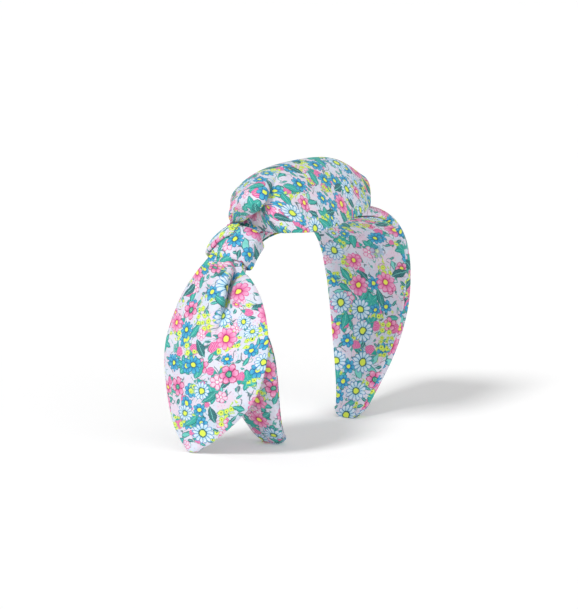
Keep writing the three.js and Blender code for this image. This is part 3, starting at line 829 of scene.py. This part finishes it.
def ground(g, p):
    """White cloth with loose pale patches, fine dots and thin curling stems."""
    patches = g.over(g.noise(p, 9.0, 3.0), 0.53, 0.10)
    colour = g.mix(patches * 0.65, GROUND, PALE_PINK)
    cool = g.over(g.noise(p, 11.0, 2.0, (31.0, 7.0)), 0.53, 0.12)
    colour = g.mix(cool * 0.24, colour, LIGHT_BLUE)
    dots, _, chance = g.scatter(p, 1.5, (3.0, 9.0), 0.8)
    dot = g.under(g.vector("LENGTH", dots, out=1), 0.26, 0.10) * g.over(chance[0], 0.62, 0.05)
    colour = g.mix(dot * 0.55, colour, HOT_PINK)
    for shift, size, width, tone in STEMS:
        level = g.noise(p, size, 1.0, shift)
        line = g.under(abs(level - 0.5), width, 0.012)
        gate = g.over(g.noise(p, 5.0, 0.0, shift), 0.50, 0.05)
        colour = g.mix(line * gate * 0.9, colour, tone)
    return colour


# Each motif below gives its shape, which is 1 inside and 0 outside, and its colour.
def leaves(g, p, size, shift, length, slim, share, dark, light):
    """Pointed leaves with a midrib and side veins, each in a tone of its own."""
    offset, room, chance = g.scatter(p, size, shift, 0.75)
    x, y = g.turned(offset, chance[0])
    long = g.math("MINIMUM", room * 1.15, length)
    along = x / long
    body = 1.0 - along * along
    half = long * slim * body * (1.0 - along * 0.35)
    side = abs(y)
    shown = g.under(chance[1], share, 0.01)
    leaf = g.under(side, half, 0.18) * g.under(abs(along), 1.0, 0.05) * shown
    tone = g.mix(g.over(chance[2], 0.5, 0.3), dark, light)
    shade = g.mix(g.over(side, half - 0.42, 0.25) * 0.9, tone, DARK_TEAL)
    veins = g.under(g.math("FRACT", (x + side * 0.9) * 1.15), 0.24, 0.12) * g.under(side, half * 0.85, 0.2)
    shade = g.mix(veins * 0.55, shade, MINT)
    shade = g.mix(g.under(side, 0.13, 0.12), shade, MINT)
    return leaf, shade


def ivy(g, p, size, shift, largest, share):
    """Broad five-pointed leaves with pale veins."""
    offset, room, chance = g.scatter(p, size, shift, 0.7)
    r, angle = g.polar(offset, chance[0])
    lobe = abs(g.math("FRACT", angle * 5.0) * 2.0 - 1.0)  # 0 at a lobe's point
    outline = g.math("MINIMUM", room * 1.15, largest) * (1.0 - lobe * 0.46)
    shown = g.under(chance[1], share, 0.01)
    tone = g.mix(g.over(r, outline - 0.45, 0.25) * 0.9, TEAL, DARK_TEAL)
    tone = g.mix(g.under(g.math("FRACT", r * 0.8 + lobe * 1.4), 0.25, 0.15) * 0.4, tone, MINT)
    tone = g.mix(g.under(lobe, 0.10, 0.08) * g.under(r, outline * 0.75, 0.3) * 0.8, tone, MINT)
    return g.under(r, outline, 0.16) * shown, tone


def florets(g, p, size, shift, gate_size, gate_at, petal, heart):
    """Clusters of small round florets, each with a dark heart."""
    offset, room, chance = g.scatter(p, size, shift, 0.45)
    r, angle = g.polar(offset, chance[0])
    wave = abs(g.math("FRACT", angle * 5.0) - 0.5)
    radius = g.math("MINIMUM", room * 1.1, size * 0.48) * (1.08 - wave * 0.5)
    gate = g.over(g.noise(p, gate_size, 1.0, shift), gate_at, 0.02)
    body = g.under(r, radius, 0.16) * gate
    tone = g.mix(g.over(r, radius * 0.72, 0.3) * 0.5, petal, TEAL)
    tone = g.mix(g.under(r, 0.33, 0.14), tone, heart)
    return body, tone


def buds(g, p, size, shift, share):
    """Drop-shaped buds in a leafy cup."""
    offset, room, chance = g.scatter(p, size, shift, 0.8)
    x, y = g.turned(offset, chance[0])
    long = g.math("MINIMUM", room * 1.1, size * 0.42)
    along = x / long
    side = abs(y)
    half = long * 0.62 * (1.0 - along * along) * (1.0 + along * 0.45)
    shown = g.under(chance[1], share, 0.01) * g.under(abs(along), 1.0, 0.06)
    streak = g.math("FRACT", (y + along * 0.3) * 1.3)
    tone = g.mix(g.under(streak, 0.35, 0.3) * 0.75, HOT_PINK, PINK)
    tone = g.mix(g.under(along, -0.25, 0.12), tone, TEAL)
    tone = g.mix(g.over(side, half - 0.28, 0.16) * 0.7, tone, DEEP_PINK)
    return g.under(side, half, 0.16) * shown, tone


def flowers(g, p, size, shift, largest, kinds, share):
    """Open flowers. kinds gives, for a rising random number, the petals and tones of each sort."""
    offset, room, chance = g.scatter(p, size, shift, 0.72)
    r, angle = g.polar(offset, chance[0])
    grouped = g.noise(g.vector("SUBTRACT", p, offset), 2.1 * size, 0.0)
    sort = g.math("MULTIPLY_ADD", grouped, 1.5, chance[1] * 0.45 - 0.475, clamp=True)
    shown = g.under(chance[2], share, 0.01)
    picture = body = None
    for start, petals, fill, notch, inner, outer, rim, heart, ring, heart_size in kinds:
        radius = g.math("MINIMUM", room * 1.02, largest * fill)
        share_out = r / radius
        petal = abs(g.math("FRACT", angle * petals) * 2.0 - 1.0)
        outline = 1.0 - g.math("POWER", petal, 2.2) * notch
        inside = g.under(share_out, outline, 0.05)
        tone = g.mix(g.math("MULTIPLY_ADD", share_out, 2.0, -0.6, clamp=True), inner, outer)
        streaks = g.under(g.math("FRACT", angle * (petals * 4) + share_out * 0.2), 0.30, 0.25)
        tone = g.mix(streaks * 0.38, tone, inner)
        tone = g.mix(g.over(petal, 0.78, 0.12) * 0.95, tone, rim)
        tone = g.mix(g.over(share_out, outline - 0.11, 0.06) * 0.85, tone, rim)
        tone = g.mix(g.under(share_out, heart_size + 0.11, 0.06), tone, ring)
        grain = g.over(g.noise(p, 0.6, 0.0), 0.55, 0.15) * 0.35
        tone = g.mix(g.under(share_out, heart_size, 0.05), tone, g.mix(grain, heart, LIME))
        if picture is None:
            picture, body = tone, inside
        else:
            chosen = g.over(sort, start, 0.001)
            picture = g.mix(chosen, picture, tone)
            body = body + (inside - body) * chosen
    return body * shown, picture


BIG_FLOWERS = [
    # start, petals, size, notch, inner, outer, rim, heart, ring, heart size
    (0.0, 13, 1.0, 0.30, LIGHT_BLUE, WHITE, BLUE, LIME, DARK_TEAL, 0.27),
    (0.38, 9, 0.90, 0.26, HOT_PINK, PINK, HOT_PINK, YELLOW, DEEP_PINK, 0.25),
    (0.60, 6, 0.84, 0.36, HOT_PINK, PINK, DEEP_PINK, TEAL, DARK_TEAL, 0.22),
    (0.74, 9, 0.76, 0.34, BLUE, SKY, DEEP_BLUE, LIME, DARK_TEAL, 0.25),
]
SMALL_FLOWERS = [
    (0.0, 7, 1.0, 0.32, BLUE, SKY, DEEP_BLUE, LIME, DEEP_BLUE, 0.28),
    (0.54, 5, 1.0, 0.34, HOT_PINK, PINK, DEEP_PINK, YELLOW, DEEP_PINK, 0.26),
    (0.76, 6, 1.0, 0.32, PALE_PINK, PALE_PINK, HOT_PINK, WHITE, HOT_PINK, 0.18),
]


MOTIFS = [  # from the bottom up: the kind, its size and shift, and what else that kind takes
    (leaves, 5.4, (31.0, 44.0), 2.5, 0.40, 0.52, DARK_TEAL, TEAL),
    (leaves, 9.0, (11.0, 4.0), 5.0, 0.44, 0.40, TEAL, MINT),
    (ivy, 18.0, (23.0, 12.0), 6.4, 0.50),
    (buds, 11.0, (19.0, 71.0), 0.50),
    (flowers, 11.5, (43.0, 31.0), 4.4, SMALL_FLOWERS, 0.80),
    (florets, 3.8, (5.0, 17.0), 13.0, 0.60, LIME, INK),
    (leaves, 13.0, (57.0, 23.0), 6.0, 0.42, 0.55, DARK_TEAL, TEAL),
    (flowers, 16.5, (7.0, 91.0), 6.9, BIG_FLOWERS, 0.86),
]


def print_group():
    """The printed pattern as a node group: a place on the cloth in millimetres in, a colour out."""
    tree = bpy.data.node_groups.new("floral print", "ShaderNodeTree")
    tree.interface.new_socket("Place", in_out="INPUT", socket_type="NodeSocketVector")
    tree.interface.new_socket("Color", in_out="OUTPUT", socket_type="NodeSocketColor")
    g = Graph(tree)
    place = Field(g, tree.nodes.new("NodeGroupInput").outputs[0])
    p = place
    for size, reach in ((7.0, 1.6), (1.5, 0.7)):  # outlines drift slowly and shake finely
        drift = g.vector("SUBTRACT", g.noise(place, size, 1.0, out=1), (0.5, 0.5, 0.5))
        p = g.vector("MULTIPLY_ADD", drift, (reach, reach, 0.0), p)
    colour = ground(g, p)
    for motif, *settings in MOTIFS:
        shape, tone = motif(g, p, *settings)
        colour = g.mix(shape, colour, tone)
    out = tree.nodes.new("NodeGroupOutput")
    tree.links.new(colour.socket, out.inputs[0])
    return tree


def material(name, **settings):
    """A material, its graph and its shader. Underscores in settings stand for spaces."""
    made = bpy.data.materials.new(name)
    made.use_nodes = True
    shader = made.node_tree.nodes["Principled BSDF"]
    for socket, value in settings.items():
        shader.inputs[socket.replace("_", " ")].default_value = value
    return made, Graph(made.node_tree), shader


def dress(g, shader, colour, roughness, height, distance, strength):
    """Link a colour, a roughness and a relief to a shader."""
    inputs = {"Height": height, "Distance": distance, "Strength": strength}
    relief = g.node("ShaderNodeBump", inputs)
    for socket, field in (("Base Color", colour), ("Roughness", roughness), ("Normal", relief)):
        g.tree.links.new(field.socket, shader.inputs[socket])


THREAD_PITCH = 0.42


def printed_cotton(printing):
    """Plain-woven cotton with the print, a little unevenness of ink, and creases too fine to model."""
    shine = {"Sheen_Weight": 0.10, "Sheen_Roughness": 0.45, "Specular_IOR_Level": 0.22}
    made, g, shader = material("printed_cotton", **shine)
    uv = g.node("ShaderNodeUVMap", {}, uv_map="print")
    colour = g.node("ShaderNodeGroup", {0: uv}, node_tree=printing)
    u, v, _ = g.separate(uv)
    thread = TURN / THREAD_PITCH
    weave = g.math("SINE", u * thread) * g.math("SINE", v * thread)
    worn = g.noise(uv, 0.9, 2.0)
    colour = g.mix(g.over(weave, 0.75, 0.5) * 0.06, colour, WHITE)
    colour = g.mix(worn * 0.06, colour, GROUND)
    roughness = g.math("MULTIPLY_ADD", worn, 0.14, 0.78)
    creases = g.noise(uv, 6.5, 3.0)
    relief = weave * 0.045 + creases * 0.55 + worn * 0.05
    dress(g, shader, colour, roughness, relief, 0.0009, 0.55)
    return made


def moulded_plastic():
    """The hidden hoop: pale plastic with faint flow marks."""
    made, g, shader = material("hoop_plastic")
    place = g.node("ShaderNodeTexCoord", {}, out=3)
    flow = g.node("ShaderNodeTexNoise", {"Vector": place, "Scale": 160.0, "Detail": 3.0})
    colour = g.mix(flow * 0.5, linear(240, 240, 238), linear(222, 222, 218))
    dress(g, shader, colour, g.math("MULTIPLY_ADD", flow, 0.2, 0.38), flow, 0.0002, 0.4)
    return made


def open_foam():
    """The pad under the cover: cream foam with open cells."""
    made, g, shader = material("padding_foam")
    place = g.node("ShaderNodeTexCoord", {}, out=3)
    cells = g.node("ShaderNodeTexVoronoi", {"Vector": place, "Scale": 1400.0})
    colour = g.mix(cells, linear(226, 220, 200), linear(248, 244, 232))
    dress(g, shader, colour, g.math("MULTIPLY_ADD", cells, 0.1, 0.88), cells, 0.0004, 0.8)
    return made


# ---- Assembly ----
PRINTED = printed_cotton(print_group())
PLASTIC = moulded_plastic()
FOAM = open_foam()


def finish_piece(piece, nodes):
    piece.data.materials.append(PRINTED)
    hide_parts(*nodes)
    return piece


def frame_point(s):
    """A point of the part's frame on the hoop's inner face, in metres."""
    return ((on_hoop(s, 0.0, 0.0) + SHIFT) * MM).tolist()


FLEX_BLEND = 9.0  # half the length of band between the two points set round a flex point
KNOT_BEND = frame_point(KNOT_FLEX_AT - FLEX_BLEND), frame_point(KNOT_FLEX_AT + FLEX_BLEND)
PLAIN_FLEX_AT = HOOP_LENGTH - KNOT_FLEX_AT
PLAIN_BEND = frame_point(PLAIN_FLEX_AT + FLEX_BLEND), frame_point(PLAIN_FLEX_AT - FLEX_BLEND)
ARMS = {"knot": ("knot_side_arm", *KNOT_BEND), "plain": ("plain_side_arm", *PLAIN_BEND)}

# The plain side's cover and lining stand for the crown's too, as every node is replaced once.
for side, foot in (("knot", FOOT_END), ("plain", HOOP_LENGTH - FOOT_END)):
    piece = cover(f"cover_{side}_side", foot)
    replaced = [f"cover_{side}_arm", f"foam_{side}_arm"]
    finish_piece(piece, replaced + (["cover_crown", "foam_crown"] if side == "plain" else []))
    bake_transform(piece)

for side, foot in (("knot", LINING_FOOT), ("plain", HOOP_LENGTH - LINING_FOOT)):
    piece = lining(f"lining_{side}_side", foot)
    finish_piece(piece, [f"lining_{side}_arm"] + (["lining_crown"] if side == "plain" else []))
    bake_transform(piece)

for side, foot, direction in (("knot", 0.0, 1.0), ("plain", HOOP_LENGTH, -1.0)):
    piece = tip_fold(f"tip_fold_{side}_foot", foot, direction)
    finish_piece(piece, [f"tip_fold_{side}_arm"])
    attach(piece, ARMS[side][0])

WRAP_PIECE = finish_piece(knot_wrap(), ["knot_wrap"])
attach(WRAP_PIECE, "crown")
CROSSOVER_PIECE = finish_piece(knot_crossover(), ["knot_crossover"])
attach(CROSSOVER_PIECE, "crown")
WAIST_PIECE = finish_piece(bow_waist(), ["bow_waist"])
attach(WAIST_PIECE, "crown")


def lift_bend(tail, rise, before, length):
    """Two points of the part's frame in metres: a line of that length and rise in degrees, from a little
    before the middle of the tail's root."""
    root = tail.root_line(np.array([0.0, 0.25, 0.5, 0.75, 1.0]), 0.0).mean(axis=0) + SHIFT
    away = np.array([tail.side * math.cos(math.radians(rise)), 0.0, math.sin(math.radians(rise))])
    return [((root + away * at) * MM).tolist() for at in (-before, length - before)]


TAILS = {  # tail, parent, bend, flat size, area, and the print's turn and shift
    "upper_tail": (UPPER_TAIL, "crown", (20, 0, 12), (0.080, 0.135), 0.0088, -30, (250.0, 210.0)),
    "lower_tail": (LOWER_TAIL, "knot_side_arm", (-40, 4, 16), (0.075, 0.130), 0.0070, 20, (330.0, 330.0)),
}
for name, (tail, parent, bend, flat, area, uv_turn, uv_shift) in TAILS.items():
    for piece in tail.cloths(name, uv_turn, uv_shift):
        part = piece.name.split("_")[2]
        finish_piece(piece, [f"{name}_{part}"] + ([f"{name}_interfacing"] if part == "backing" else []))
        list(lift_bend(tail, *bend))
        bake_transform(piece)

for name, node in frame["nodes"].items():
    kind = name.split("_")[0]
    if kind in ("core", "foam"):
        node.data.materials.clear()
        node.data.materials.append(PLASTIC if kind == "core" else FOAM)


# ---- Stage ----
def floor():
    dull = {"Emission_Color": (1, 1, 1, 1), "Emission_Strength": 0.10, "Roughness": 0.9}
    made, g, shader = material("paper", Specular_IOR_Level=0.1, **dull)
    place = g.node("ShaderNodeTexCoord", {}, out=3)
    grain = g.node("ShaderNodeTexNoise", {"Vector": place, "Scale": 300.0, "Detail": 2.0})
    colour = g.mix(grain, (0.95, 0.95, 0.95, 1), (0.98, 0.98, 0.98, 1))
    g.tree.links.new(colour.socket, shader.inputs["Base Color"])
    bpy.ops.mesh.primitive_plane_add(size=30.0, location=(0, 0, 0))
    plane = bpy.context.object
    plane.name = "paper_floor"
    plane.data.materials.append(made)


def pointed(name, data, axis, direction):
    """A new object with one of its axes along a direction."""
    obj = bpy.data.objects.new(name, data)
    obj.rotation_mode = "QUATERNION"
    obj.rotation_quaternion = Vector(direction).to_track_quat(axis, "Y")
    bpy.context.scene.collection.objects.link(obj)
    return obj


def distant_light(name, direction, strength, spread):
    """A broad distant light from that direction, so that all of the floor is lit alike."""
    lamp = bpy.data.lights.new(name, "SUN")
    lamp.energy = strength
    lamp.angle = math.radians(spread)
    pointed(name, lamp, "Z", direction)


def world(level):
    sky = bpy.data.worlds.new("white room")
    bpy.context.scene.world = sky
    sky.use_nodes = True
    background = sky.node_tree.nodes["Background"]
    background.inputs["Color"].default_value = (1, 1, 1, 1)
    background.inputs["Strength"].default_value = level


def camera():
    lens = bpy.data.cameras.new("camera")
    lens.lens = 164.4
    lens.sensor_width = 36.0
    place, aim = Vector((-1.3095, -0.8496, 0.3534)), Vector((0.00497, 0.00488, 0.0730))
    obj = pointed("camera", lens, "-Z", aim - place)
    obj.location = place
    bpy.context.scene.camera = obj


floor()
world(0.42)
distant_light("key", (-0.718, 0.107, 0.688), 1.95, 14.0)
distant_light("fill", (-0.45, -0.80, 0.40), 0.87, 70.0)
camera()
bpy.context.scene.view_settings.view_transform = "Standard"
